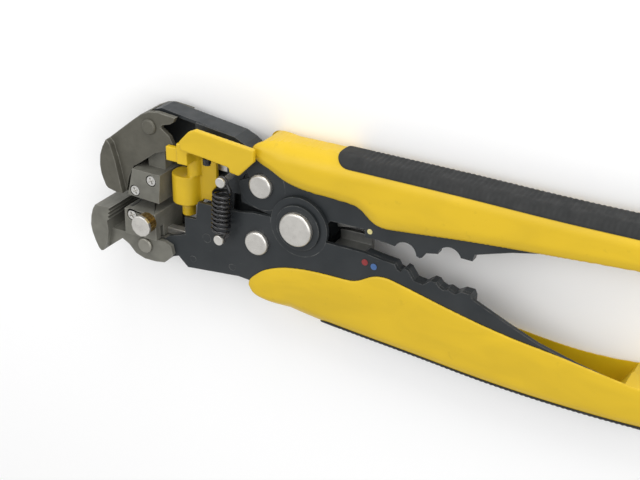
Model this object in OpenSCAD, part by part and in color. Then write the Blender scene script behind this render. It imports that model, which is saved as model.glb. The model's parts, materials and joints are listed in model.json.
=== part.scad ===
// Self-adjusting wire stripper: two handles on one main pivot, a fixed lower jaw, an upper jaw on a
// swinging arm, a pair of blade blocks that draw back, a wire cutter and a crimping die.
// The tool lies on its side: +X runs to the handle ends, +Y to the upper handle, +Z is the thickness.
// The origin is on the main pivot's axis, in the plane of the flat sides that the tool lies on.

/* [Handles] */
// Half of the thickness of the grips
grip_half = 8.8; // [8.6:0.1:9.4]
// Distance from the main pivot to the ends of the handles
handle_reach = 131; // [120:1:140]
// Thickness of the soft inserts in the backs of the grips
insert_t = 1.7; // [1.2:0.1:2.2]

/* [Plates] */
// Thickness of the handle plates and of the frame plates
plate_t = 1.4; // [1.2:0.1:1.4]
// Inner face of the upper handle's plates, from the middle plane
upper_plate_z = 4.4; // [4.4:0.1:4.5]
// Inner face of the frame's plates, from the middle plane
frame_plate_z = 6.0; // [6.0:0.1:6.1]
// Thickness of the upper arm's sheet
arm_t = 1.0; // [0.8:0.1:1.0]
// Outer face of the upper arm, from the middle plane
arm_z = 4.2; // [4.1:0.1:4.2]

/* [Pivots] */
// Radius of the main rivet's shank
main_r = 3.0; // [2.8:0.1:3.2]
// Radius of the main rivet's near head
main_head_r = 5.9; // [5.5:0.1:6.2]
// Radius of the arm pivot's pin
arm_pin_r = 1.6; // [1.4:0.1:1.7]
// Running clearance on the radius of each turning pin
running = 0.05; // [0.03:0.01:0.08]

/* [Jaws] */
// Half of the width of the upper jaw
upper_jaw_half = 8.5; // [8.0:0.1:8.7]
// Height of the lower jaw's near face above the middle plane
lower_jaw_near = 11.5; // [10:0.1:12]
// Number of teeth down the back of the lower jaw
jaw_teeth = 4; // [3:1:5]

/* [Springs] */
// Number of coils in the jaw spring
spring_turns = 9; // [7:1:11]
// Mean radius of the jaw spring's coils
spring_r = 2.9; // [2.7:0.05:2.95]

/* [Knob] */
// Radius of the adjusting knob's steel cap
knob_r = 3.8; // [3.6:0.1:4.2]
// Number of grooves in the brass barrel
knob_grooves = 24; // [12:1:30]

/* [Hidden] */
$fn = 48;

// Heights of the stack above the middle plane
upper_plate_top = upper_plate_z + plate_t;
frame_plate_top = frame_plate_z + plate_t;
washer_top = frame_plate_top + 1;
main_head_top = washer_top + 2;

// Places of the pivots and rivets in the plane of the tool
upper_link = [-14.7, 10.9];
lower_link = [-15.6, -9.3];
arm_pivot = [-36, -13];
upper_jaw_fix = [-58.6, 22.9];
lower_jaw_fix = [-60.8, -21];
spring_top = [-26.5, 11.9];
spring_foot = [-27.9, -9.5];
spring_z = frame_plate_top + spring_r + 0.8;
spring_wire_r = 0.5;
knob_axis = [-57.8, -10.5];
frame_spacer_places = [[-42, -22.6], [-26, -21.6], [8, -24], [54, -29]];

steel = [0.83, 0.82, 0.79];
plate_grey = [0.20, 0.22, 0.24];
cast_grey = [0.42, 0.41, 0.38];
yellow = [0.93, 0.79, 0.16];
charcoal = [0.15, 0.15, 0.16];
brass = [0.65, 0.50, 0.20];

// --- shared helpers ---

// Everything is designed about the middle plane and lifted so that the flat sides lie on z = 0.
module lifted() translate([0, 0, grip_half]) children();

// An outline extruded from one height to another
module slab(z0, z1) translate([0, 0, z0]) linear_extrude(height = z1 - z0) children();

// A round post at a place in the plane, from one height to another
module post(place, r, z0, z1)
    translate([place[0], place[1], z0]) cylinder(r = r, h = z1 - z0);

// A rivet: a shank between a flat tail on the far side and a head with a bevelled edge on the near side
module rivet(place, shank_r, head_r, z0, z1, head_h, tail_h) {
    bevel = min(0.5, head_h / 2);
    post(place, shank_r, z0, z1);
    post(place, head_r, z0, z0 + tail_h);
    post(place, head_r, z1 - head_h, z1 - bevel);
    translate([place[0], place[1], z1 - bevel])
        rotate_extrude() polygon([[0, 0], [head_r, 0], [head_r - bevel, bevel], [0, bevel]]);
}

// A cross-recessed screw seen from above: a head with two crossed slots, and its shank below
module cross_screw(place, head_r, shank_r, z0, z1) {
    head_h = 1.6;
    post(place, shank_r, z0, z1 - head_h);
    difference() {
        post(place, head_r, z1 - head_h, z1);
        for (turn = [25, 115])
            translate([place[0], place[1], z1]) rotate([0, 0, turn])
                cube([head_r * 1.45, 0.55, 2.2], center = true);
    }
}

// --- outlines in the plane of the tool ---

// The lower frame: jaw end, spring area, eye around the main pivot, crimping profile and tang
lower_teeth = [[24, -3.2], [28.3, -3.9], [34.6, -4.5], [35.6, -6.2], [36.8, -6.6], [38, -5.0],
               [39.3, -5.5], [41.4, -8.6], [44.6, -9.1], [47.3, -7.0], [49, -7.2], [50, -8.5],
               [51.6, -9.2], [53, -8.6], [55.3, -9.6], [57.8, -8.1], [60.6, -8.2], [61.3, -9.8]];
lower_tang = [[73.3, -15.1], [83.3, -19.2], [96, -22.6], [108, -25]];
lower_belly = [[42, -33.4], [10, -30.4], [-13, -28.4]];
lower_tang_back = [[108, -36.4], [90, -36.4], [67, -35.4]];
// The far plate ends in a short tang, low enough to leave the crimping profile to the near side
far_tang = [[22, -12], [24, -18.5], [34, -19.5], [44, -20.5], [59, -23], [62, -25], [62, -35]];
frame_front = [[-17, -25], [-23.5, -24.4], [-36.8, -25.6], [-44.3, -26.4], [-46.4, -24.5],
               [-48, -22.9], [-53, -24.6], [-66, -24.2], [-66, -18.8], [-55, -18.8], [-52, -16.2],
               [-44.8, -13.7], [-44.8, -7], [-40.1, -6.8], [-39.2, -0.2], [-22.6, 0],
               [-17.6, 1], [-10.4, 1.2]];

module frame_outline(tang) {
    circle(r = 10.5);
    polygon(concat([[10, -3]], tang, lower_belly, frame_front));
}

// The upper handle: lobe around the link rivet, eye around the main pivot, cutter recess,
// crimping profile and tang
upper_teeth = [[60.5, 4.9], [59.9, 2.5], [56.3, 2.6], [48, 2.0], [44.5, 1.3], [43.2, -0.6],
               [42.3, -1.0], [41.2, -0.5], [33.2, 1.1], [27.2, 1.7], [23.2, 1.5]];
upper_tang = [[0, 19.6], [104, 19.6]];
upper_tang_edge = [[104, 14], [86, 11.6], [72.2, 8.6]];

die_recesses = [[37.3, -0.7], [52.3, 1.4]];
die_recess_r = 3.9;

far_upper_edge = [[59, 12.5], [32, 10], [27, 10], [23.2, 8]];

module upper_handle_outline(edge) {
    difference() {
        union() {
            circle(r = 9.5);
            translate(upper_link) circle(r = 8.8);
            polygon(concat(upper_tang, edge,
                           [[23.2, 4.3], [10.8, 4.3], [9, 2], [0, 0], [-10.5, 0.8], [-22.5, 3.3],
                            [-23, 8], [-14.7, 19.6]]));
        }
        for (place = die_recesses) translate(place) circle(r = die_recess_r);
        // Notch that the arm's spring post swings into
        translate([-27.2, 9.2]) rotate([0, 0, 23]) square([8.6, 4.2]);
    }
}

upper_grip_nose = [[-6, 27.3], [-11, 27.1], [-14.6, 26.4], [-17, 24.9], [-17.9, 22.9],
                   [-16.9, 20.9], [-14, 19], [-10.9, 17.7], [-5.9, 15.1], [-0.9, 13.7],
                   [4.1, 13.1], [19, 12.3], [22, 11.2], [24.2, 9.4],
                   [26.6, 7.6], [29, 6.8], [32, 6.7]];
module upper_grip_outline()
    polygon(concat(upper_grip_nose,
                   [[59, 9.3], [87, 11.3], [handle_reach - 15, 13], [handle_reach - 6, 12],
                    [handle_reach - 1.5, 14], [handle_reach, 18.5], [handle_reach - 2, 23.5],
                    [handle_reach - 7, 26], [handle_reach - 16, 25.9], [86, 26], [52, 26.8],
                    [8, 27.3]]));

lower_grip_nose = [[-8.5, -32.8], [-14, -31.4], [-17.6, -29.4], [-19.3, -26.4], [-18.9, -24.4],
                   [-17, -22.2], [-12.9, -19.1], [-6, -16.4], [2, -15], [10, -14.6],
                   [19.4, -14.4], [22.2, -13.6], [27.1, -10.9], [30.8, -10.1], [34.1, -10.4]];
lower_grip_edge = [[44.1, -12.8], [59.1, -16.4], [74, -19.2], [90, -21.2]];
// The far moulding stays lower, behind the crimping profile
far_grip_nose = [[-8.5, -32.8], [-14, -31.4], [-17.6, -29.4], [-19.3, -26.4], [-18.9, -24.4],
                 [-17, -22.2], [-12.9, -19.8], [-6, -18], [2, -17.2], [10, -17], [19.4, -17.2],
                 [27.1, -17.3], [34.1, -17.7]];
far_grip_edge = [[44.1, -19.8], [59.1, -22.8], [74, -25], [90, -26.4], [103, -26.2]];
module lower_grip_outline(nose = lower_grip_nose, edge = lower_grip_edge)
    polygon(concat(nose, edge,
                   [[handle_reach - 15, -24.8], [handle_reach - 6, -24.4],
                    [handle_reach - 1.5, -26], [handle_reach, -30], [handle_reach - 2, -36.5],
                    [handle_reach - 7, -39.8], [handle_reach - 16, -41], [90, -41.3],
                    [67, -40.4], [42, -38.2], [8, -35.2]]));

upper_nose = [[-75.7, 15.6], [-77.4, 12.6], [-78.6, 9.4], [-79, 5.7], [-78.7, 2.6], [-78, 0.4],
              [-77, -2], [-76.2, -2.8], [-72.7, -3.6], [-70, -3.6], [-72.2, 7.8], [-74.1, 14.2]];
upper_casting = [[-58.5, 28.2], [-62, 26.6], [-66.5, 23.1], [-70.5, 19.8], [-75.7, 15.6],
                 [-77, -2], [-72.7, -3.6], [-70, -3.6], [-68.6, 2], [-66.2, 6.8], [-64.8, 7.6],
                 [-61.1, 10.3], [-56.8, 13.5], [-52.5, 15.1], [-49.3, 18.1], [-50.6, 20.8],
                 [-54, 23.3], [-53.2, 24.4], [-50.3, 25.2], [-48.7, 26.2], [-47.9, 28],
                 [-55.2, 28.7]];

// --- lower frame, which everything else hangs on ---

module frame_plate(z0, tang) {
    lifted() color(plate_grey) difference() {
        slab(z0, z0 + plate_t) frame_outline(tang);
        post([0, 0], main_r, z0 - 1, z0 + plate_t + 1);
        post(lower_link, 2, z0 - 1, z0 + plate_t + 1);
        post(arm_pivot, arm_pin_r, z0 - 1, z0 + plate_t + 1);
        post(lower_jaw_fix, 1.8, z0 - 1, z0 + plate_t + 1);
        post(spring_foot, 1, z0 - 1, z0 + plate_t + 1);
        for (place = frame_spacer_places) post(place, 1.2, z0 - 1, z0 + plate_t + 1);
    }
}
module frame_plate_near()
    frame_plate(frame_plate_z, concat(lower_teeth, lower_tang, lower_tang_back));
module frame_plate_far() frame_plate(-frame_plate_top, far_tang);

// Shouldered spacers that hold the two frame plates apart
module frame_spacers()
    lifted() color(steel) for (place = frame_spacer_places) {
        post(place, 2, -frame_plate_z, frame_plate_z);
        post(place, 1.2, -frame_plate_top, frame_plate_top);
    }

module main_rivet() lifted() color(steel)
    rivet([0, 0], main_r, main_head_r, -grip_half, main_head_top, main_head_top - washer_top,
          grip_half - frame_plate_top);

// Raised rings between the frame's eyes and the rivet's heads
module main_washers() lifted() color(plate_grey) {
    difference() {
        post([0, 0], 8, frame_plate_top, washer_top);
        post([0, 0], main_r, frame_plate_top - 1, washer_top + 1);
    }
    difference() {
        post([0, 0], 8, -frame_plate_top - 0.8, -frame_plate_top);
        post([0, 0], main_head_r, -grip_half, -frame_plate_top + 1);
    }
}

// Sleeve on the main rivet between the upper handle's plates
module main_bush() lifted() color(steel) difference() {
    post([0, 0], 4.6, -upper_plate_z + 0.1, upper_plate_z - 0.1);
    post([0, 0], main_r, -upper_plate_z - 1, upper_plate_z + 1);
}

module lower_link_rivet() lifted() color(steel)
    rivet(lower_link, 2, 4.3, -frame_plate_top - 0.8, frame_plate_top + 1.8, 1.8, 0.8);
module lower_link_bush() lifted() color(steel) difference() {
    post(lower_link, 3.4, -frame_plate_z, frame_plate_z);
    post(lower_link, 2, -frame_plate_top, frame_plate_top);
}

module arm_pivot_pin()
    lifted() color(steel) post(arm_pivot, arm_pin_r, -frame_plate_top, frame_plate_top);

// Lower jaw: a wide gripping nose with teeth down its back, on a base that straddles the plates
tooth_pitch = 1.5;
function tooth(i) = [[-73.3 - 0.28 * i, -8.6 - tooth_pitch * i],
                     [-74.5 - 0.28 * i, -8.9 - tooth_pitch * i - tooth_pitch / 2]];
lower_nose_back = [for (i = [jaw_teeth - 1 : -1 : 0]) for (k = [1, 0]) tooth(i)[k]];
module lower_jaw() lifted() color(cast_grey) {
    slab(-grip_half, lower_jaw_near)
        polygon(concat([[-80.1, -9], [-81.2, -10.8], [-82.1, -13.6], [-82.6, -17.2],
                        [-82.2, -20], [-81, -23.4], [-79.8, -25.9], [-78.8, -26.8],
                        [-77.8, -26.4], [-75.9, -22.4], [-75, -18]], lower_nose_back));
    difference() {
        slab(-grip_half, 9) polygon([[-75.6, -18], [-52.6, -17.9], [-50, -19], [-49.4, -22.3],
                              [-51.7, -24.9], [-53.1, -26.1], [-57, -26.7], [-61.6, -26.7],
                              [-65.3, -25.5], [-68, -22.6], [-70.9, -21], [-77.4, -26]]);
        for (z0 = [frame_plate_z, -frame_plate_top])
            slab(z0, z0 + plate_t) translate([-66, -30]) square([30, 30]);
        post(lower_jaw_fix, 1.8, -grip_half - 1, 10);
        post(lower_jaw_fix, 2.9, -grip_half - 1, -frame_plate_top - 0.6);
    }
}
module lower_jaw_rivet() lifted() color(steel)
    rivet(lower_jaw_fix, 1.8, 2.9, -grip_half, 10.2, 1.2, 0.8);

// Posts that the jaw spring's eyes hang on: a shank under a small round head
module spring_post(place, z0) {
    top = spring_z + 1.7;
    post(place, 1, z0, top);
    post(place, 1.8, top - 1.2, top);
}
module spring_post_lower()
    lifted() color(steel) spring_post(spring_foot, frame_plate_z);

// Coils of a spring as a stack of joined rings, the length of the coil along +Y
module coil(turns, mean_r, wire_r, length) {
    pitch = length / turns;
    rotate([-90, 0, 0]) rotate_extrude() {
        for (i = [0 : turns - 1]) translate([mean_r, (i + 0.5) * pitch]) circle(r = wire_r);
        translate([mean_r - wire_r / 3, pitch / 2]) square([wire_r * 2 / 3, length - pitch]);
    }
}

// Extension spring: a coil between two flat eyes, which hang on the posts
spring_span = spring_top - spring_foot;
spring_lean = atan2(spring_span[0], spring_span[1]);
spring_reach = norm(spring_span);
eye_r = 1.6;
eye_neck = 3.7;
module spring_eye() {
    rotate_extrude() translate([eye_r, 0]) circle(r = spring_wire_r);
    // Neck from the eye out to the first coil
    rotate([-90, 0, 0]) translate([eye_r, 0, 0]) cylinder(r = spring_wire_r, h = eye_neck);
    translate([eye_r, eye_neck, 0]) rotate([0, 90, 0])
        cylinder(r = spring_wire_r, h = spring_r - eye_r);
}
module jaw_spring() lifted() color(charcoal)
    translate([spring_foot[0], spring_foot[1], spring_z]) rotate([0, 0, -spring_lean]) {
        spring_eye();
        translate([0, spring_reach, 0]) rotate([180, 0, 0]) spring_eye();
        translate([0, eye_neck - 0.4, 0])
            coil(spring_turns, spring_r, spring_wire_r, spring_reach - 2 * eye_neck + 0.8);
    }

// Crimping dies: thick backings welded behind the near plates, with the plates' own profile.
// The lower die also backs the upper handle's near plate as the handles close.
die_z = 3;
module lower_crimp_die() lifted() color(plate_grey)
    slab(die_z, frame_plate_z)
        polygon(concat(lower_teeth, [[61.3, -14], [24, -12]]));

// Cutter blades: a thick root between the plates and a thin edge that passes the other blade
module lower_cutter_blade() lifted() color(steel) {
    slab(-2, frame_plate_z) polygon([[11.6, -10], [23, -10], [23, -4], [11.6, -4]]);
    slab(-2, -running) polygon([[11.6, -4], [23, -4], [23, -0.6], [11.6, -0.8]]);
}

module marker(place, z1, r) post(place, r, z1, z1 + 0.25);
module red_marker() lifted() color([0.75, 0.2, 0.2]) marker([24.3, -6.4], frame_plate_top, 1.1);
module blue_marker() lifted() color([0.3, 0.45, 0.75]) marker([27.5, -7.2], frame_plate_top, 1.1);

// Lower grip: two moulded halves, each with a side wall and half of the back
module lower_back() polygon([[-14, -28.5], [10, -30.5], [42, -33.5], [67, -35.5], [90, -36.5],
                             [109, -36.5], [109, -20], [140, -20], [140, -50], [-14, -50]]);
lower_wall_z = frame_plate_top + 0.1;
module lower_insert_strip() intersection() {
    difference() {
        lower_grip_outline();
        translate([0, insert_t]) lower_grip_outline();
    }
    translate([6, -60]) square([handle_reach - 14, 30]);
}
module lower_grip_near() lifted() color(yellow) difference() {
    union() {
        slab(lower_wall_z, grip_half) lower_grip_outline();
        slab(0, lower_wall_z) intersection() { lower_grip_outline(); lower_back(); }
    }
    slab(-6.6, 6.6) lower_insert_strip();
}
module far_grip_outline() lower_grip_outline(far_grip_nose, far_grip_edge);
far_solid_x = 64;
module lower_grip_far() lifted() color(yellow) difference() {
    union() {
        slab(-grip_half, -lower_wall_z) far_grip_outline();
        slab(-lower_wall_z, 0) intersection() { far_grip_outline(); lower_back(); }
        // Solid up to the near plate's tang, where the far plate has ended
        slab(-lower_wall_z, 0) intersection() {
            far_grip_outline();
            translate([far_solid_x, -60]) square([80, 60]);
        }
        slab(0, frame_plate_z - 0.2) difference() {
            intersection() {
                far_grip_outline();
                translate([far_solid_x, -60]) square([109 - far_solid_x, 60]);
            }
            lower_back();
        }
    }
    slab(-6.6, 6.6) lower_insert_strip();
}
module lower_grip_insert() lifted() color(charcoal) slab(-6.6, 6.6) lower_insert_strip();

// --- upper handle ---

module upper_handle_plate(z0, edge) lifted() color(plate_grey) difference() {
    slab(z0, z0 + plate_t) upper_handle_outline(edge);
    post([0, 0], main_r + running, z0 - 1, z0 + plate_t + 1);
    post(upper_link, 2, z0 - 1, z0 + plate_t + 1);
}
module upper_handle_plate_near()
    upper_handle_plate(upper_plate_z, concat(upper_tang_edge, upper_teeth));
module upper_handle_plate_far()
    upper_handle_plate(-upper_plate_top, concat([[104, 17], [86, 15]], far_upper_edge));

module upper_link_rivet() lifted() color(steel)
    rivet(upper_link, 2, 4.2, -upper_plate_top - 1.2, upper_plate_top + 1.8, 1.8, 1.2);
module upper_link_bush() lifted() color(steel) difference() {
    post(upper_link, 2.5, -upper_plate_z, upper_plate_z);
    post(upper_link, 2, -upper_plate_top, upper_plate_top);
}

module upper_crimp_die() lifted() color(plate_grey) difference() {
    slab(die_z, upper_plate_z)
        polygon(concat([[24, 9], [60.5, 9]], upper_teeth));
    for (place = die_recesses) post(place, die_recess_r, -6, 6);
}
module upper_cutter_blade() lifted() color(steel) {
    slab(running, upper_plate_z) polygon([[11.4, 9], [22.8, 9], [22.8, 4.8], [11.4, 4.8]]);
    slab(running, 2) polygon([[11.4, 5], [22.8, 5], [22.8, 2.8], [11.4, 0.8]]);
}
module yellow_marker() lifted() color([0.9, 0.85, 0.5]) marker([25, 4], upper_plate_top, 0.9);

upper_wall_z = upper_plate_top + 0.1;
module upper_back() polygon([[-14.5, 21.5], [-3, 21.5], [-1, 19.8], [105, 19.8], [105, 9],
                             [140, 9], [140, 30], [-14.5, 30]]);
module upper_insert_strip() intersection() {
    difference() {
        upper_grip_outline();
        translate([0, -insert_t]) upper_grip_outline();
    }
    translate([12, 20]) square([handle_reach - 20, 20]);
}
module upper_grip_half(side) difference() {
    union() {
        slab(min(side * upper_wall_z, side * grip_half), max(side * upper_wall_z, side * grip_half))
            upper_grip_outline();
        slab(min(0, side * upper_wall_z), max(0, side * upper_wall_z))
            intersection() { upper_grip_outline(); upper_back(); }
    }
    slab(-7, 7) upper_insert_strip();
}
module upper_grip_near() lifted() color(yellow) upper_grip_half(1);
module upper_grip_far() lifted() color(yellow) upper_grip_half(-1);
module upper_grip_insert() lifted() color(charcoal) slab(-7, 7) upper_insert_strip();

// --- upper arm ---

arm_ridge = [[-58.2, 28.3], [-55.2, 29.3], [-25.9, 25.1], [-22.1, 23.4], [-20.3, 22]];
// Open slot that the upper link's bush travels in
module link_slot() translate([upper_link[0] - 4.8, upper_link[1] - 0.4]) {
    circle(r = 3.4);
    translate([0, -3.4]) square([20, 6.8]);
}
module link_lobe() translate([-22, 5]) square([13, 12.5]);
module arm_near_cheek() difference() {
    union() {
        polygon(concat([[-41, 27.1]], [for (i = [2 : 4]) arm_ridge[i]],
                       [[-20.3, 17.5], [-22, 5], [-27, 5], [-29, 9], [-29, 21.3], [-41, 21.3]]));
        link_lobe();
    }
    link_slot();
}
module arm_far_cheek() difference() {
    union() {
        polygon(concat(arm_ridge, [[-20.3, 17.5], [-22, 5], [-31, 2], [-32.4, -13.5], [-34, -16],
                                   [-38, -16], [-39.6, -13.5], [-41.5, 4], [-60, 19]]));
        link_lobe();
    }
    link_slot();
    translate(arm_pivot) circle(r = arm_pin_r + running);
    translate(upper_jaw_fix) circle(r = 1.8);
}
module upper_arm() lifted() color(plate_grey) {
    difference() {
        slab(arm_z - arm_t, arm_z) arm_near_cheek();
        post(spring_top, 1, 0, 10);
    }
    slab(-arm_z, -arm_z + arm_t) arm_far_cheek();
    slab(-arm_z + arm_t, arm_z - arm_t) difference() {
        polygon(concat(arm_ridge, [[-22, 19], [-57.6, 24]]));
        translate([0, -arm_t - 0.1]) polygon(concat([[-59, 20]], arm_ridge, [[-20, 15]]));
    }
    // Boss that bears on the arm pivot's pin
    difference() {
        post(arm_pivot, 3, -arm_z + arm_t, -1.6);
        post(arm_pivot, arm_pin_r + running, -arm_z - 1, 0);
    }
}

// Upper jaw: a casting whose cheeks straddle the arm, with a wide gripping nose
module upper_jaw() lifted() color(cast_grey) {
    slab(-upper_jaw_half, upper_jaw_half) polygon(upper_nose);
    difference() {
        slab(-6, 6) polygon(upper_casting);
        slab(-arm_z, arm_z) polygon([[-64.4, 4], [-64.4, 22], [-60.4, 25], [-59.4, 32], [-40, 32],
                                     [-40, 4]]);
        post(upper_jaw_fix, 1.8, -8, 8);
    }
}
module upper_jaw_rivet()
    lifted() color(steel) rivet(upper_jaw_fix, 1.8, 2.8, -7, 7, 1, 1);
module spring_post_upper()
    lifted() color(steel) spring_post(spring_top, arm_z - arm_t);

// --- blade blocks and what moves with them ---

lower_block = [[-68, -7.8], [-55, -7.5], [-55, -17.6], [-68.3, -17.6]];
lower_screw_place = [-65, -9.9];
module lower_blade_block() lifted() color(cast_grey) difference() {
    slab(-grip_half + 0.3, 10.5) polygon(lower_block);
    // Slots that pass over the frame's plates as the block draws back
    for (z0 = [frame_plate_z - 0.2, -frame_plate_top - 0.2])
        slab(z0, z0 + plate_t + 0.4) translate([-70, -18]) square([20, 5]);
    post(lower_screw_place, 2.15, 8.7, 11);
    post(lower_screw_place, 1.2, -2, 10);
    slab(-8, 8) translate([-67.3, -12]) square([1, 8]);
    post(knob_axis, 1.5, 4, 11);
}
module lower_stripping_blade() lifted() color(steel)
    slab(-8, 8) translate([-67.3, -12]) square([1, 4.3]);
module lower_blade_screw()
    lifted() color(steel) cross_screw(lower_screw_place, 1.75, 1.2, -2, 10.3);
module lower_drawbar()
    lifted() color(steel) slab(0.5, 3.5) translate([-55, -17.4]) square([30, 2.4]);
module knob_stud() lifted() color(steel) post(knob_axis, 1.5, 4, 13.5);

upper_block = [[-65, 7], [-53.5, 6.8], [-54.5, -4.0], [-67.4, -3.2]];
upper_screw_places = [[-57.5, 3.9], [-64.5, -1.2]];
module upper_blade_block() lifted() color(cast_grey) difference() {
    union() {
        slab(-upper_jaw_half, upper_jaw_half) polygon(upper_block);
        slab(-1.3, arm_z - arm_t - 0.2) translate([-62, 6.5]) square([7, 9.5]);
    }
    for (place = upper_screw_places) {
        post(place, 2.15, 6.7, 9);
        post(place, 1.2, 0, 9);
    }
    slab(-8, 8) translate([-66.3, -5]) square([1, 7]);
}
module upper_stripping_blade() lifted() color(steel) difference() {
    slab(-8, 8) translate([-66.3, -3.5]) square([1, 5.5]);
    post(upper_screw_places[1], 2.15, 6.7, 9);
    post(upper_screw_places[1], 1.2, 0, 9);
}
module upper_blade_screws()
    lifted() color(steel) for (place = upper_screw_places) cross_screw(place, 1.75, 1.2, 0, 8.3);
module upper_drawbar() lifted() color(steel)
    slab(-arm_z + arm_t + 0.2, -1.3) translate([-61, 9]) square([29, 5]);

// --- length stop ---

// A round body with an upright axis, from one height in Y to another
module upright(x, z, r, y0, y1)
    translate([x, y0, z]) rotate([-90, 0, 0]) cylinder(r = r, h = y1 - y0);
drum_x = -47.5;
drum_z = 0.5;
module length_stop() lifted() color(yellow) {
    intersection() {
        upright(drum_x, drum_z, 5.5, -3.9, 6.7);
        translate([-60, -10, -3]) cube([30, 30, 8.85]);
    }
    upright(drum_x, drum_z, 2.0, -6, -3);
    upright(drum_x, drum_z, 2.4, -9.2, -6);
    upright(-43.9, 1.4, 2.6, 7, 17);
    slab(-0.7, 1.1) polygon([[-45, 12.8], [-35.4, 12.8], [-35.4, 4.2], [-36.9, 2.4], [-36.9, -2],
                             [-40.9, -2], [-42, -3], [-45, -3.2]]);
    slab(6.2, 8.2) translate([-50.8, 13.1]) square([7, 5.2]);
    slab(-1, 9) translate([-46, 13.1]) square([4.2, 7.4]);
    slab(6.2, 9) translate([-42.5, 17.8]) square([10, 1.8]);
    slab(9, 10.9) polygon([[-43.4, 22.3], [-39.7, 26.3], [-37, 27.6], [-14.6, 25.1],
                           [-14.8, 20.8], [-20.5, 14.9], [-24, 15.4], [-24.2, 17],
                           [-33.7, 18.3], [-43.1, 19.3]]);
}
module stop_spring() lifted() color(charcoal)
    translate([-34.8, 14.4, 7.4]) coil(4, 1.15, 0.3, 3.1);

// --- adjusting knob on the lower blade block ---

module knob_barrel() lifted() color(brass) difference() {
    post(knob_axis, 3.5, 10.8, 14.1);
    for (i = [0 : knob_grooves - 1])
        translate([knob_axis[0], knob_axis[1], 0]) rotate([0, 0, i * 360 / knob_grooves])
            translate([3.5, 0, 10]) cylinder(r = 0.18, h = 5, $fn = 4);
    post(knob_axis, 1.5 + running, 10, 13.6);
}
module knob_cap() lifted() color(steel)
    translate([knob_axis[0], knob_axis[1], 14.1]) cylinder(r = knob_r, h = 1.4, $fn = 12);

frame_plate_near();
frame_plate_far();
frame_spacers();
main_rivet();
main_washers();
main_bush();
lower_link_rivet();
lower_link_bush();
arm_pivot_pin();
lower_jaw();
lower_jaw_rivet();
spring_post_lower();
jaw_spring();
lower_crimp_die();
lower_cutter_blade();
red_marker();
blue_marker();
lower_grip_near();
lower_grip_far();
lower_grip_insert();
upper_handle_plate_near();
upper_handle_plate_far();
upper_link_rivet();
upper_link_bush();
upper_crimp_die();
upper_cutter_blade();
yellow_marker();
upper_grip_near();
upper_grip_far();
upper_grip_insert();
upper_arm();
upper_jaw();
upper_jaw_rivet();
spring_post_upper();
lower_blade_block();
lower_stripping_blade();
lower_blade_screw();
lower_drawbar();
knob_stud();
upper_blade_block();
upper_stripping_blade();
upper_blade_screws();
upper_drawbar();
length_stop();
stop_spring();
knob_barrel();
knob_cap();
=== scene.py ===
"""Self-adjusting wire stripper: moulded grips, ribbed inserts and real springs on the CAD frame."""
import json
import math

import bmesh
import bpy
import numpy as np
from mathutils import Matrix, Vector


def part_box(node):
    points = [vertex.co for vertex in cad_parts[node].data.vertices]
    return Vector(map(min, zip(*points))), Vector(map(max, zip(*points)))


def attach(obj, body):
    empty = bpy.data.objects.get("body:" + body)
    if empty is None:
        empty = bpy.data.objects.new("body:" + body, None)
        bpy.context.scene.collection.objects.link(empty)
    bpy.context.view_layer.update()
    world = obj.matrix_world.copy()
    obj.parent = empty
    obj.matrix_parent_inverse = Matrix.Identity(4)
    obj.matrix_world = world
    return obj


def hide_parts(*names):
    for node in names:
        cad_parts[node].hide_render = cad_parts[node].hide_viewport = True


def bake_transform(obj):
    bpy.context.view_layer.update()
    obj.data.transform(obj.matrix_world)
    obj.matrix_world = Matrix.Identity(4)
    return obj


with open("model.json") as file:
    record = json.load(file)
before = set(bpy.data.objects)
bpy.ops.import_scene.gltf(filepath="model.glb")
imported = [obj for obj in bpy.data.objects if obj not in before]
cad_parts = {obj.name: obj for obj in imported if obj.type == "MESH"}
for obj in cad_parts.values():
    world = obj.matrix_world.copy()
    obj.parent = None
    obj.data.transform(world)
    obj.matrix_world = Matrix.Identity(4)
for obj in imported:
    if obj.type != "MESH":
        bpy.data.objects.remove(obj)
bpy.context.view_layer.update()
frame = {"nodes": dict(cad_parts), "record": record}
nodes = frame["nodes"]

MM = 0.001

# The tool lies on its side. Its middle plane is half a grip above the plane that it rests on.
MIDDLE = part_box("upper_grip_near")[0].z


# --- camera, lights and floor ---

# The camera's own axes in the tool's frame: right, up in the picture, and back towards the camera
VIEW_RIGHT = Vector((0.8770, 0.0078, -0.4803))
VIEW_UP = Vector((-0.2248, 0.8902, -0.3960))
VIEW_BACK = Vector((0.4245, 0.4553, 0.7825))
VIEW_DISTANCE = 403 * MM
PIVOT_RIGHT = -8.4 * MM
PIVOT_UP = 2.9 * MM
LENS = 70.3


def place_camera():
    """The main pivot sits a little left of the picture's middle and above it."""
    pivot = Vector((0, 0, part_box("main_rivet")[1].z))
    camera = bpy.data.objects.new("camera", bpy.data.cameras.new("camera"))
    bpy.context.scene.collection.objects.link(camera)
    camera.data.lens = LENS
    camera.data.clip_start = 0.01
    turn = Matrix((VIEW_RIGHT, VIEW_UP, VIEW_BACK)).transposed().to_4x4()
    spot = pivot - PIVOT_RIGHT * VIEW_RIGHT - PIVOT_UP * VIEW_UP + VIEW_DISTANCE * VIEW_BACK
    camera.matrix_world = Matrix.Translation(spot) @ turn
    bpy.context.scene.camera = camera


def add_light(name, right, up, back, size, power):
    """A soft square light aimed at the tool. Its place is given along the camera's axes."""
    data = bpy.data.lights.new(name, "AREA")
    data.size = size
    data.energy = power
    lamp = bpy.data.objects.new(name, data)
    bpy.context.scene.collection.objects.link(lamp)
    spot = right * VIEW_RIGHT + up * VIEW_UP + back * VIEW_BACK
    lamp.location = spot
    lamp.rotation_mode = "QUATERNION"
    lamp.rotation_quaternion = spot.to_track_quat("Z", "Y")


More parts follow.
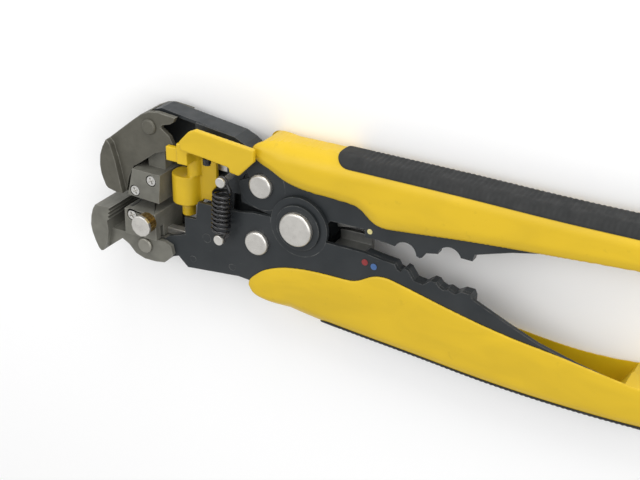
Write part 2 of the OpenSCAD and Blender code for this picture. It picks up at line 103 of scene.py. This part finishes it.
def light_studio():
    add_light("key_light", 0.05, 0.60, 0.80, 0.55, 4.2)
    add_light("fill_light", -0.65, 0.10, 0.60, 0.60, 1.9)
    add_light("front_light", 0.35, -0.15, 0.90, 0.70, 2.5)
    world = bpy.data.worlds.new("studio")
    world.use_nodes = True
    background = world.node_tree.nodes["Background"]
    background.inputs["Color"].default_value = (1.0, 1.0, 1.0, 1)
    background.inputs["Strength"].default_value = 0.66
    bpy.context.scene.world = world
    bpy.context.scene.view_settings.view_transform = "Standard"


def add_floor():
    half = 3.0
    mesh = bpy.data.meshes.new("floor")
    corners = [(-half, -half, 0), (half, -half, 0), (half, half, 0), (-half, half, 0)]
    mesh.from_pydata(corners, [], [(0, 1, 2, 3)])
    floor = bpy.data.objects.new("floor", mesh)
    floor.location.z = -0.3 * MM
    bpy.context.scene.collection.objects.link(floor)
    floor.data.materials.append(paper_white())


# --- materials ---

def new_material(name, color, roughness, metallic=0.0):
    material = bpy.data.materials.new(name)
    material.use_nodes = True
    shader = material.node_tree.nodes["Principled BSDF"]
    shader.inputs["Base Color"].default_value = (*color, 1)
    shader.inputs["Roughness"].default_value = roughness
    shader.inputs["Metallic"].default_value = metallic
    return material, material.node_tree, shader


def noise(tree, size, detail=3.0, distortion=0.0, stretch=(1, 1, 1)):
    """Noise in the object's own metres, whose features are about size across."""
    place = tree.nodes.new("ShaderNodeTexCoord")
    scale = tree.nodes.new("ShaderNodeMapping")
    scale.inputs["Scale"].default_value = [s / size for s in stretch]
    texture = tree.nodes.new("ShaderNodeTexNoise")
    texture.inputs["Scale"].default_value = 1.0
    texture.inputs["Detail"].default_value = detail
    texture.inputs["Distortion"].default_value = distortion
    tree.links.new(place.outputs["Object"], scale.inputs["Vector"])
    tree.links.new(scale.outputs["Vector"], texture.inputs["Vector"])
    return texture.outputs["Fac"]


def remap(tree, value, low, high, to_low, to_high):
    node = tree.nodes.new("ShaderNodeMapRange")
    node.inputs["From Min"].default_value = low
    node.inputs["From Max"].default_value = high
    node.inputs["To Min"].default_value = to_low
    node.inputs["To Max"].default_value = to_high
    tree.links.new(value, node.inputs["Value"])
    return node.outputs["Result"]


def math_node(tree, operation, first, second):
    node = tree.nodes.new("ShaderNodeMath")
    node.operation = operation
    for socket, value in zip(node.inputs, (first, second)):
        if isinstance(value, (int, float)):
            socket.default_value = value
        else:
            tree.links.new(value, socket)
    return node.outputs["Value"]


def mixed_color(tree, factor, first, second):
    """A blend of two colours, either of which may be the output of an earlier blend."""
    node = tree.nodes.new("ShaderNodeMix")
    node.data_type = "RGBA"
    tree.links.new(factor, node.inputs["Factor"])
    color_a, color_b = node.inputs[6], node.inputs[7]
    for socket, value in ((color_a, first), (color_b, second)):
        if isinstance(value, tuple):
            socket.default_value = (*value, 1)
        else:
            tree.links.new(value, socket)
    color_result = node.outputs[2]
    return color_result


def edge_mask(tree, radius, low=0.90, high=0.995):
    """1 on sharp outer and inner edges, 0 on flat ground."""
    bevel = tree.nodes.new("ShaderNodeBevel")
    bevel.samples = 4
    bevel.inputs["Radius"].default_value = radius
    ground = tree.nodes.new("ShaderNodeNewGeometry")
    dot = tree.nodes.new("ShaderNodeVectorMath")
    dot.operation = "DOT_PRODUCT"
    tree.links.new(bevel.outputs["Normal"], dot.inputs[0])
    tree.links.new(ground.outputs["Normal"], dot.inputs[1])
    return remap(tree, dot.outputs["Value"], low, high, 1.0, 0.0)


def add_bump(tree, shader, height, strength, distance):
    node = tree.nodes.new("ShaderNodeBump")
    node.inputs["Strength"].default_value = strength
    node.inputs["Distance"].default_value = distance
    tree.links.new(height, node.inputs["Height"])
    tree.links.new(node.outputs["Normal"], shader.inputs["Normal"])


def paper_white():
    material, tree, shader = new_material("paper_white", (0.97, 0.97, 0.97), 0.9)
    add_bump(tree, shader, noise(tree, 1.2 * MM), 0.1, 0.05 * MM)
    return material


def yellow_plastic(name, color):
    """Moulded plastic: fine satin grain, faint flow marks and a few specks of grime."""
    material, tree, shader = new_material(name, color, 0.42)
    shader.inputs["Specular IOR Level"].default_value = 0.45
    flow = noise(tree, 22 * MM, 2.0, 0.6, (1, 2.4, 1))
    darker = tuple(c * 0.90 for c in color)
    body = mixed_color(tree, remap(tree, flow, 0.35, 0.70, 0.0, 1.0), color, darker)
    specks = remap(tree, noise(tree, 2.6 * MM, 5.0), 0.66, 0.74, 0.0, 0.25)
    grimy = mixed_color(tree, specks, body, tuple(c * 0.72 for c in color))
    tree.links.new(grimy, shader.inputs["Base Color"])
    grain = noise(tree, 0.30 * MM, 2.0)
    tree.links.new(remap(tree, noise(tree, 6 * MM), 0.3, 0.7, 0.36, 0.50), shader.inputs["Roughness"])
    add_bump(tree, shader, grain, 0.22, 0.05 * MM)
    return material


def soft_rubber():
    clean = (0.019, 0.020, 0.020)
    dusty = (0.034, 0.034, 0.033)
    material, tree, shader = new_material("soft_rubber", clean, 0.72)
    shader.inputs["Specular IOR Level"].default_value = 0.35
    dust = remap(tree, noise(tree, 7 * MM, 5.0), 0.45, 0.75, 0.0, 0.5)
    tree.links.new(mixed_color(tree, dust, clean, dusty), shader.inputs["Base Color"])
    tree.links.new(remap(tree, noise(tree, 3 * MM), 0.3, 0.7, 0.62, 0.82), shader.inputs["Roughness"])
    add_bump(tree, shader, noise(tree, 0.25 * MM, 3.0), 0.45, 0.06 * MM)
    return material


def painted_steel():
    """Blue-black coated sheet: orange-peel in the coat, rubbed edges and a few fine scratches."""
    dark = (0.020, 0.024, 0.027)
    pale = (0.030, 0.034, 0.037)
    material, tree, shader = new_material("painted_steel", dark, 0.42, 0.25)
    cloud = remap(tree, noise(tree, 12 * MM, 4.0), 0.35, 0.7, 0.0, 1.0)
    coat = mixed_color(tree, cloud, dark, pale)
    scratch = remap(tree, noise(tree, 2.4 * MM, 6.0, 0.3, (1, 9, 1)), 0.70, 0.74, 0.0, 0.35)
    scratched = mixed_color(tree, scratch, coat, (0.12, 0.12, 0.12))
    rub = math_node(tree, "MULTIPLY", edge_mask(tree, 0.30 * MM),
                    remap(tree, noise(tree, 3.2 * MM, 4.0), 0.42, 0.62, 0.1, 0.8))
    tree.links.new(mixed_color(tree, rub, scratched, (0.19, 0.19, 0.18)), shader.inputs["Base Color"])
    tree.links.new(remap(tree, noise(tree, 4 * MM, 4.0), 0.3, 0.7, 0.34, 0.52),
                   shader.inputs["Roughness"])
    add_bump(tree, shader, noise(tree, 0.55 * MM, 3.0), 0.25, 0.05 * MM)
    return material


def cast_steel(name, color):
    """Sintered jaw steel: dull brown-grey, pitted, darker in patches and brighter on its edges."""
    material, tree, shader = new_material(name, color, 0.55, 0.35)
    patch = remap(tree, noise(tree, 5 * MM, 5.0, 0.4), 0.35, 0.68, 0.0, 1.0)
    ground = mixed_color(tree, patch, color, tuple(c * 0.78 for c in color))
    rub = math_node(tree, "MULTIPLY", edge_mask(tree, 0.35 * MM),
                    remap(tree, noise(tree, 2.2 * MM, 3.0), 0.35, 0.65, 0.25, 0.9))
    tree.links.new(mixed_color(tree, rub, ground, (0.30, 0.29, 0.26)), shader.inputs["Base Color"])
    tree.links.new(remap(tree, noise(tree, 1.6 * MM, 4.0), 0.3, 0.7, 0.44, 0.64),
                   shader.inputs["Roughness"])
    grit = math_node(tree, "ADD", noise(tree, 0.28 * MM, 3.0), noise(tree, 1.1 * MM, 2.0))
    add_bump(tree, shader, grit, 0.4, 0.06 * MM)
    return material


def bright_steel(name, color, roughness, turn_mark=True):
    """Turned or ground steel: faint circular marks, fine scratches and dulled patches."""
    material, tree, shader = new_material(name, color, roughness, 0.9)
    dull = remap(tree, noise(tree, 3 * MM, 5.0), 0.4, 0.7, 0.0, 1.0)
    tree.links.new(mixed_color(tree, dull, color, tuple(c * 0.86 for c in color)),
                   shader.inputs["Base Color"])
    streak = (1, 14, 1) if turn_mark else (10, 1, 1)
    marks = noise(tree, 1.6 * MM, 4.0, 0.2, streak)
    tree.links.new(remap(tree, marks, 0.3, 0.7, roughness - 0.08, roughness + 0.12),
                   shader.inputs["Roughness"])
    add_bump(tree, shader, marks, 0.12, 0.03 * MM)
    return material


def spring_lacquer():
    lacquer = (0.012, 0.012, 0.014)
    rubbed = (0.06, 0.06, 0.06)
    material, tree, shader = new_material("spring_lacquer", lacquer, 0.22, 0.3)
    shader.inputs["Coat Weight"].default_value = 0.5
    shader.inputs["Coat Roughness"].default_value = 0.12
    worn = remap(tree, noise(tree, 0.9 * MM, 3.0), 0.62, 0.72, 0.0, 0.5)
    tree.links.new(mixed_color(tree, worn, lacquer, rubbed), shader.inputs["Base Color"])
    tree.links.new(remap(tree, noise(tree, 1.5 * MM), 0.3, 0.7, 0.16, 0.32), shader.inputs["Roughness"])
    return material


def knurled_brass():
    brass = (0.44, 0.32, 0.13)
    dirty = (0.15, 0.10, 0.045)
    material, tree, shader = new_material("knurled_brass", brass, 0.36, 0.95)
    dirt = remap(tree, noise(tree, 1.2 * MM, 4.0), 0.42, 0.66, 0.0, 0.8)
    tree.links.new(mixed_color(tree, dirt, brass, dirty), shader.inputs["Base Color"])
    tree.links.new(remap(tree, noise(tree, 0.8 * MM), 0.3, 0.7, 0.28, 0.5), shader.inputs["Roughness"])
    add_bump(tree, shader, noise(tree, 0.3 * MM), 0.3, 0.04 * MM)
    return material


def dot_enamel(name, color):
    material, tree, shader = new_material(name, color, 0.30)
    shade = remap(tree, noise(tree, 0.8 * MM), 0.3, 0.7, 0.0, 1.0)
    tree.links.new(mixed_color(tree, shade, color, tuple(c * 0.75 for c in color)),
                   shader.inputs["Base Color"])
    add_bump(tree, shader, noise(tree, 0.5 * MM), 0.2, 0.04 * MM)
    return material


def make_materials():
    return {
        "frame_steel": painted_steel(),
        "rivet_steel": bright_steel("rivet_steel", (0.74, 0.72, 0.68), 0.34),
        "rivet_cast": bright_steel("dulled_rivet", (0.34, 0.33, 0.29), 0.42),
        "jaw_cast": cast_steel("cast_steel", (0.190, 0.187, 0.160)),
        "jaw_dark": cast_steel("dark_cast_steel", (0.115, 0.110, 0.088)),
        "blade_steel": bright_steel("blade_steel", (0.20, 0.20, 0.19), 0.38, False),
        "screw_nickel": bright_steel("screw_nickel", (0.78, 0.77, 0.74), 0.26),
        "spring_black": spring_lacquer(),
        "grip_yellow": yellow_plastic("grip_yellow", (0.68, 0.45, 0.009)),
        "stop_yellow": yellow_plastic("stop_yellow", (0.68, 0.45, 0.011)),
        "grip_soft": soft_rubber(),
        "knurl_brass": knurled_brass(),
        "marker_red": dot_enamel("marker_red", (0.26, 0.028, 0.030)),
        "marker_blue": dot_enamel("marker_blue", (0.060, 0.14, 0.34)),
        "marker_cream": dot_enamel("marker_cream", (0.74, 0.66, 0.30)),
    }


materials = make_materials()
slot_of = {part["node"]: part["material_slot"] for part in frame["record"]["subparts"]}
body_of = {node: body for body, members in frame["record"]["behaviour"]["bodies"].items()
           for node in members}


# --- CAD nodes that keep their shape: eased edges and their material ---

def ease_edges(name, width, segments=2):
    """Cleans the node's flat faces, then rounds its sharp edges without touching its own mesh."""
    piece = nodes[name]
    weld = piece.modifiers.new("weld", "WELD")
    weld.merge_threshold = 1e-6
    flatten = piece.modifiers.new("flatten", "DECIMATE")
    flatten.decimate_type = "DISSOLVE"
    flatten.angle_limit = math.radians(1.0)
    bevel = piece.modifiers.new("ease", "BEVEL")
    bevel.width = width
    bevel.segments = segments
    bevel.limit_method = "ANGLE"
    bevel.angle_limit = math.radians(32)
    bevel.harden_normals = False
    normals = piece.modifiers.new("normals", "WEIGHTED_NORMAL")
    normals.keep_sharp = True


def finish_node(name):
    piece = nodes[name]
    piece.data.materials.clear()
    piece.data.materials.append(materials[slot_of[name]])


# Widths of the eased edges, in millimetres
EDGE_WIDTH = {
    "frame_plate_near": 0.22, "frame_plate_far": 0.22, "upper_handle_plate_near": 0.22,
    "upper_handle_plate_far": 0.22, "upper_arm": 0.18, "lower_jaw": 0.40, "upper_jaw": 0.45,
    "lower_blade_block": 0.35, "upper_blade_block": 0.45,
    "main_rivet": 0.25, "lower_link_rivet": 0.25, "upper_link_rivet": 0.25,
    "lower_jaw_rivet": 0.2, "upper_jaw_rivet": 0.2, "spring_post_lower": 0.25,
    "spring_post_upper": 0.25, "knob_cap": 0.25, "main_washers": 0.25, "lower_crimp_die": 0.15,
    "upper_crimp_die": 0.15, "lower_cutter_blade": 0.1, "upper_cutter_blade": 0.1,
    "lower_blade_screw": 0.1, "upper_blade_screws": 0.1, "frame_spacers": 0.15,
    "red_marker": 0.1, "blue_marker": 0.1, "yellow_marker": 0.1, "lower_drawbar": 0.2,
    "upper_drawbar": 0.2,
}

for node_name in nodes:
    finish_node(node_name)
    if node_name in EDGE_WIDTH:
        ease_edges(node_name, EDGE_WIDTH[node_name] * MM)


# --- helpers for the pieces that stand for CAD nodes ---

def add_piece(name, mesh, stands_for):
    """Links a mesh as a piece that replaces and is finished as a CAD node."""
    piece = bpy.data.objects.new(name, mesh)
    bpy.context.scene.collection.objects.link(piece)
    mesh.materials.append(materials[slot_of[stands_for]])
    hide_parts(stands_for)
    return piece


def loft(name, rings, closed_ends=True):
    """A tube through rings that all have the same number of points. Each ring is a closed loop."""
    count = len(rings[0])
    points = [tuple(p) for ring in rings for p in ring]
    faces = []
    for i in range(len(rings) - 1):
        for k in range(count):
            after = (k + 1) % count
            faces.append((i * count + k, i * count + after,
                          (i + 1) * count + after, (i + 1) * count + k))
    if closed_ends:
        faces.append(tuple(reversed(range(count))))
        last = (len(rings) - 1) * count
        faces.append(tuple(range(last, last + count)))
    mesh = bpy.data.meshes.new(name)
    mesh.from_pydata(points, [], faces)
    tidy = bmesh.new()
    tidy.from_mesh(mesh)
    bmesh.ops.remove_doubles(tidy, verts=tidy.verts, dist=2e-6)
    bmesh.ops.recalc_face_normals(tidy, faces=tidy.faces)
    tidy.to_mesh(mesh)
    tidy.free()
    return mesh


def shade_smooth(mesh, angle):
    """Smooth shading, except across edges sharper than the angle."""
    mesh.polygons.foreach_set("use_smooth", [True] * len(mesh.polygons))
    mesh.set_sharp_from_angle(angle=math.radians(angle))


# --- grips ---

def face_outline(node, height):
    """The corners of a CAD node's flat face at a height, in order round the face, in metres."""
    shape = bmesh.new()
    shape.from_mesh(nodes[node].data)
    bmesh.ops.remove_doubles(shape, verts=shape.verts, dist=1e-6)
    flat = {f for f in shape.faces if all(abs(v.co.z - height) < 1e-5 for v in f.verts)}
    rim = [e for e in shape.edges if sum(f in flat for f in e.link_faces) == 1]
    joined = {}
    for edge in rim:
        for here, there in (edge.verts, reversed(edge.verts)):
            joined.setdefault(here, []).append(there)
    start = min(joined, key=lambda v: v.co.x)
    order = [start]
    while True:
        onward = [v for v in joined[order[-1]] if v not in order[-2:]]
        if not onward or onward[0] is start:
            break
        order.append(onward[0])
    corners = np.array([(v.co.x, v.co.y) for v in order])
    shape.free()
    return corners


def smooth_line(corners, step=0.3 * MM):
    """A smooth curve through the corners, for a moulded outline, as points a step apart."""
    padded = np.vstack([2 * corners[0] - corners[1], corners, 2 * corners[-1] - corners[-2]])
    line = []
    for a, b, c, d in zip(padded, padded[1:], padded[2:], padded[3:]):
        gap = np.linalg.norm(c - b)
        start = (c - a) / (np.linalg.norm(c - a) + 1e-12) * gap
        end = (d - b) / (np.linalg.norm(d - b) + 1e-12) * gap
        spans = max(2, int(gap / step))
        for t in np.arange(spans) / spans:
            line.append(b * (2 * t**3 - 3 * t**2 + 1) + c * (3 * t**2 - 2 * t**3)
                        + start * (t**3 - 2 * t**2 + t) + end * (t**3 - t**2))
    line.append(corners[-1])
    return np.array(line)


class Rounding:
    """How an inner edge is rounded: a shallow swell over a width, and a tight radius at the rim.

    The back's larger rounding fades out towards the nose over the nose blend.
    """

    def __init__(self, width, swell, radius, nose_blend):
        self.width = width
        self.swell = swell
        self.radius = radius
        self.nose_blend = nose_blend


class Grip:
    """A moulded grip half, described by its inner and outer edges and how each is rounded."""

    HALF = 8.45 * MM
    STATIONS = 300
    ACROSS = 30
    END_TRIM = 0.0002
    LEDGE = 0.2 * MM
    BACK_ROUND = 5.6 * MM
    TAIL_BLEND = 7 * MM
    OPEN_NOSE = 3.6 * MM
    UNDER_INSERT = 0.3 * MM
    CLOSED_TAIL = 20 * MM
    BELLY = 1.0 * MM
    BELLY_WIDTH = 17 * MM

    def __init__(self, node, plate_z, rounding, back_depth, outward, side):
        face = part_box(node)[1].z if side > 0 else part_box(node)[0].z
        corners = face_outline(node, face)
        ring = np.vstack([corners, corners[:1]])
        tail = int(np.argmax(corners[:, 0]))
        sides = [ring[:tail + 1], ring[tail:][::-1]]
        sides.sort(key=lambda edge: outward * edge[:, 1].mean())
        self.inner, self.outer = (smooth_line(edge) for edge in sides)
        self.nose = self.inner[0][0]
        self.tail = self.inner[-1][0]
        self.outward = outward
        self.side = side
        self.plate_z = plate_z
        self.rounding = rounding
        self.back_depth = back_depth
        self.outer[:, 1] -= outward * self.UNDER_INSERT * self.away_from_ends(self.outer[:, 0])

    def away_from_ends(self, x):
        """0 at the nose and the tail, 1 along the rest of the grip."""
        from_nose = (x - self.nose) / self.rounding.nose_blend
        from_tail = (self.tail - x) / self.TAIL_BLEND
        return np.clip(np.minimum(from_nose, from_tail), 0, 1)

    def edge(self, line, x):
        return np.interp(x, line[:, 0], line[:, 1])

    def height(self, points):
        """How high the moulding stands above the middle plane at each point of the plan."""
        rim = np.vstack([self.inner, self.outer])
        weight = np.concatenate([np.zeros(len(self.inner)), self.away_from_ends(self.outer[:, 0])])
        swell = self.rounding.swell + (self.BELLY - self.rounding.swell) * weight
        width = self.rounding.width + (self.BELLY_WIDTH - self.rounding.width) * weight
        radius = self.rounding.radius + (self.BACK_ROUND - self.rounding.radius) * weight
        out = np.empty(len(points))
        batch = 1000
        for i in range(0, len(points), batch):
            gap = np.linalg.norm(points[i:i + batch, None, :] - rim[None, :, :], axis=2)
            shallow = np.clip(1 - gap / width, 0, 1)
            tight = np.clip(1 - gap / radius, 0, 1)
            drop = swell * shallow**2 + radius * (1 - np.sqrt(1 - tight**2))
            out[i:i + batch] = self.HALF - drop.max(axis=1)
        return out

    def belly(self, inward):
        """The share of the height that is left, at a distance in from the back."""
        return 1 - self.BELLY / self.HALF * np.clip(1 - inward / self.BELLY_WIDTH, 0, 1) ** 2

    def stations(self):
        """Places along the grip, closer together at its ends and just short of them."""
        turn = np.linspace(0, math.pi, self.STATIONS)
        share = (0.5 - 0.5 * np.cos(turn)) * (1 - 2 * self.END_TRIM) + self.END_TRIM
        return self.nose + (self.tail - self.nose) * share

    def rings(self):
        """The grip's cross sections: over the rounded back, and under by the back's wall."""
        share = 0.5 - 0.5 * np.cos(np.linspace(0, math.pi, self.ACROSS))
        xs = self.stations()
        inner = self.edge(self.inner, xs)
        outer = self.edge(self.outer, xs)
        ys = inner[:, None] + share[None, :] * (outer - inner)[:, None]
        plan = np.column_stack([np.repeat(xs, self.ACROSS), ys.ravel()])
        zs = self.height(plan).reshape(ys.shape)
        rings = []
        for x, inside, outside, row, heights in zip(xs, inner, outer, ys, zs):
            floor = min(self.plate_z, heights[0] - self.LEDGE)
            depth = min(self.back_depth, 0.5 * abs(outside - inside))
            closed = np.clip(1 - (self.tail - x - self.CLOSED_TAIL) / self.TAIL_BLEND, 0, 1)
            depth += closed * (abs(outside - inside) - depth)
            back = outside - self.outward * depth
            section = [(x, y, z) for y, z in zip(row, heights)]
            base = min(floor, heights[-1] - self.LEDGE) if x < self.nose + self.OPEN_NOSE else 0
            section += [(x, outside, base), (x, back, base), (x, back, floor), (x, inside, floor)]
            rings.append([(px, py, MIDDLE + self.side * pz) for px, py, pz in section])
        return rings


def add_grip_half(grip, node, name):
    mesh = loft(name, grip.rings())
    shade_smooth(mesh, 40)
    piece = add_piece(name, mesh, node)
    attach(piece, body_of[node])


def add_insert(grip, node, name, wrap):
    """Soft insert: wraps round the grip's back by a share of its rounding, with fine cross ribs."""
    low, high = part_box(node)
    start, end = low.x, high.x
    round_end = 6 * MM
    skin = 1.2 * MM
    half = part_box("upper_grip_near")[1].z - MIDDLE
    corner = grip.BACK_ROUND
    straight = half - corner
    bend = corner * math.pi / 2
    full = straight + bend * wrap
    rib_pitch = 1.7 * MM
    rib_depth = 0.17 * MM
    rib_start = 7 * MM
    rib_fade = 2 * MM
    proud = 0.3 * MM
    squareness = 2.4
    border_width = 1.6 * MM
    lip_width = 0.5 * MM
    station = 0.21 * MM
    steps = np.linspace(-1, 1, 45)

    def on_skin(run, depth):
        """(distance in from the back, height) at a run along the skin from the middle plane."""
        away = abs(run)
        if away < straight:
            inward, height = depth, away
        elif away < straight + bend:
            angle = (away - straight) / corner
            inward = corner - (corner - depth) * math.cos(angle)
            height = straight + (corner - depth) * math.sin(angle)
        else:
            inward = corner + away - straight - bend
            height = half - depth
        return inward, math.copysign(height * grip.belly(inward), run)

    rings = []
    for x in np.arange(start, end, station):
        near_end = min(x - start + 0.05 * MM, end - x)
        share = np.clip(near_end / round_end, 0, 1)
        reach = full * (1 - (1 - share) ** squareness) ** (1 / squareness)
        outer = grip.edge(grip.outer, x) + grip.outward * proud
        rib = 0.5 - 0.5 * math.cos(2 * math.pi * (x - start) / rib_pitch)
        rib *= np.clip((min(x - start, end - x) - rib_start) / rib_fade, 0, 1)
        section = []
        for step in steps:
            run = step * reach
            from_border = (1 - abs(step)) * reach
            border = np.clip(from_border / border_width, 0, 1)
            lip = proud * (1 - np.sqrt(np.clip(from_border / lip_width, 0, 1)))
            section.append(on_skin(run, rib_depth * rib * border + lip))
        section += [on_skin(step * reach * 0.97, skin) for step in steps[::-1]]
        rings.append([(x, outer - grip.outward * d, MIDDLE + z) for d, z in section])
    mesh = loft(name, rings)
    shade_smooth(mesh, 60)
    piece = add_piece(name, mesh, node)
    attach(piece, body_of[node])


def build_grips():
    upper_edge = Rounding(5.0 * MM, 1.3 * MM, 0.9 * MM, 12 * MM)
    lower_edge = Rounding(5.0 * MM, 0.5 * MM, 0.4 * MM, 15 * MM)
    for where, plate_z, rounding, back_depth, outward, wrap in (
            ("upper", 5.9 * MM, upper_edge, 5.4 * MM, 1, 0.68),
            ("lower", 7.5 * MM, lower_edge, 4.6 * MM, -1, 0.62)):
        for side, facing in ((1, "near"), (-1, "far")):
            node = f"{where}_grip_{facing}"
            grip = Grip(node, plate_z, rounding, back_depth, outward, side)
            add_grip_half(grip, node, f"{where}_grip_shell_{facing}")
        add_insert(grip, f"{where}_grip_insert", f"{where}_soft_insert", wrap)


# --- springs ---

def wire_mesh(name, points, radius, sides=12):
    """A round wire along a list of points, as a mesh with closed ends."""
    curve = bpy.data.curves.new(name, "CURVE")
    curve.dimensions = "3D"
    curve.bevel_depth = radius
    curve.bevel_resolution = (sides - 4) // 2
    curve.use_fill_caps = True
    spline = curve.splines.new("POLY")
    spline.points.add(len(points) - 1)
    for point, place in zip(spline.points, points):
        point.co = (*place, 1)
    holder = bpy.data.objects.new(name, curve)
    bpy.context.scene.collection.objects.link(holder)
    bpy.context.view_layer.update()
    mesh = bpy.data.meshes.new_from_object(holder.evaluated_get(
        bpy.context.evaluated_depsgraph_get()))
    bpy.data.objects.remove(holder)
    bpy.data.curves.remove(curve)
    mesh.name = name
    mesh.polygons.foreach_set("use_smooth", [True] * len(mesh.polygons))
    return mesh


def build_jaw_spring():
    """Extension spring: a loop round each post, a neck, and a close coil between."""
    foot_low, foot_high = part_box("spring_post_lower")
    top_low, top_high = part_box("spring_post_upper")
    foot = (foot_low + foot_high) / 2
    top = (top_low + top_high) / 2
    spring_low, spring_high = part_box("jaw_spring")
    level = (spring_low.z + spring_high.z) / 2
    foot.z = top.z = level
    along = (top - foot).normalized()
    up = Vector((0, 0, 1))
    across = along.cross(up)
    reach = (top - foot).length
    eye = 1.6 * MM
    wire = 0.5 * MM
    coil = (spring_high.z - spring_low.z) / 2 - wire
    neck = 3.4 * MM
    turns = 9
    turn_steps = 24

    def loop_end():
        """From the free end of the hook, round the post and up its neck to the coil."""
        points = []
        for degrees in range(-285, 1, 12):
            a = math.radians(degrees)
            points.append((eye * math.cos(a), eye * math.sin(a), 0))
        for t in np.linspace(0.15, 1, 9):
            bulge = t * t * (3 - 2 * t)
            points.append((eye + (coil - eye) * bulge, neck * t, 0))
        return points

    hook = loop_end()
    path = list(hook)
    steps = turns * turn_steps
    for i in range(1, steps):
        a = 2 * math.pi * i / turn_steps
        run = neck + (reach - 2 * neck) * i / steps
        path.append((coil * math.cos(a), run, coil * math.sin(a)))
    path += [(x, reach - y, z) for x, y, z in reversed(hook)]
    placed = [foot + float(x) * across + float(y) * along + float(z) * up for x, y, z in path]
    mesh = wire_mesh("jaw_spring_wire", placed, wire)
    piece = add_piece("jaw_spring_wire", mesh, "jaw_spring")
    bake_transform(piece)


def build_stop_spring():
    """Small compression spring under the stop's thumb plate."""
    low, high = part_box("stop_spring")
    middle = (low + high) / 2
    wire = 0.27 * MM
    mean = (high.x - low.x) / 2 - wire
    length = high.y - low.y - 2 * wire
    turns = 5
    turn_steps = 20
    steps = turns * turn_steps
    path = []
    for i in range(steps + 1):
        a = 2 * math.pi * i / turn_steps
        path.append((middle.x + mean * math.cos(a), low.y + wire + length * i / steps,
                     middle.z + mean * math.sin(a)))
    piece = add_piece("stop_spring_wire", wire_mesh("stop_spring_wire", path, wire, 10),
                      "stop_spring")
    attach(piece, body_of["stop_spring"])


# --- moulded length stop ---

def build_length_stop():
    """The stop as one moulding: its joined blocks flow into each other with small fillets."""
    mesh = nodes["length_stop"].data.copy()
    mesh.name = "length_stop_moulding"
    mesh.materials.clear()
    piece = add_piece("length_stop_moulding", mesh, "length_stop")
    remesh = piece.modifiers.new("remesh", "REMESH")
    remesh.mode = "VOXEL"
    remesh.voxel_size = 0.26 * MM
    remesh.use_smooth_shade = True
    relax = piece.modifiers.new("relax", "SMOOTH")
    relax.factor = 0.5
    relax.iterations = 8
    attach(piece, body_of["length_stop"])


place_camera()
build_grips()
build_jaw_spring()
build_stop_spring()
build_length_stop()
light_studio()
add_floor()
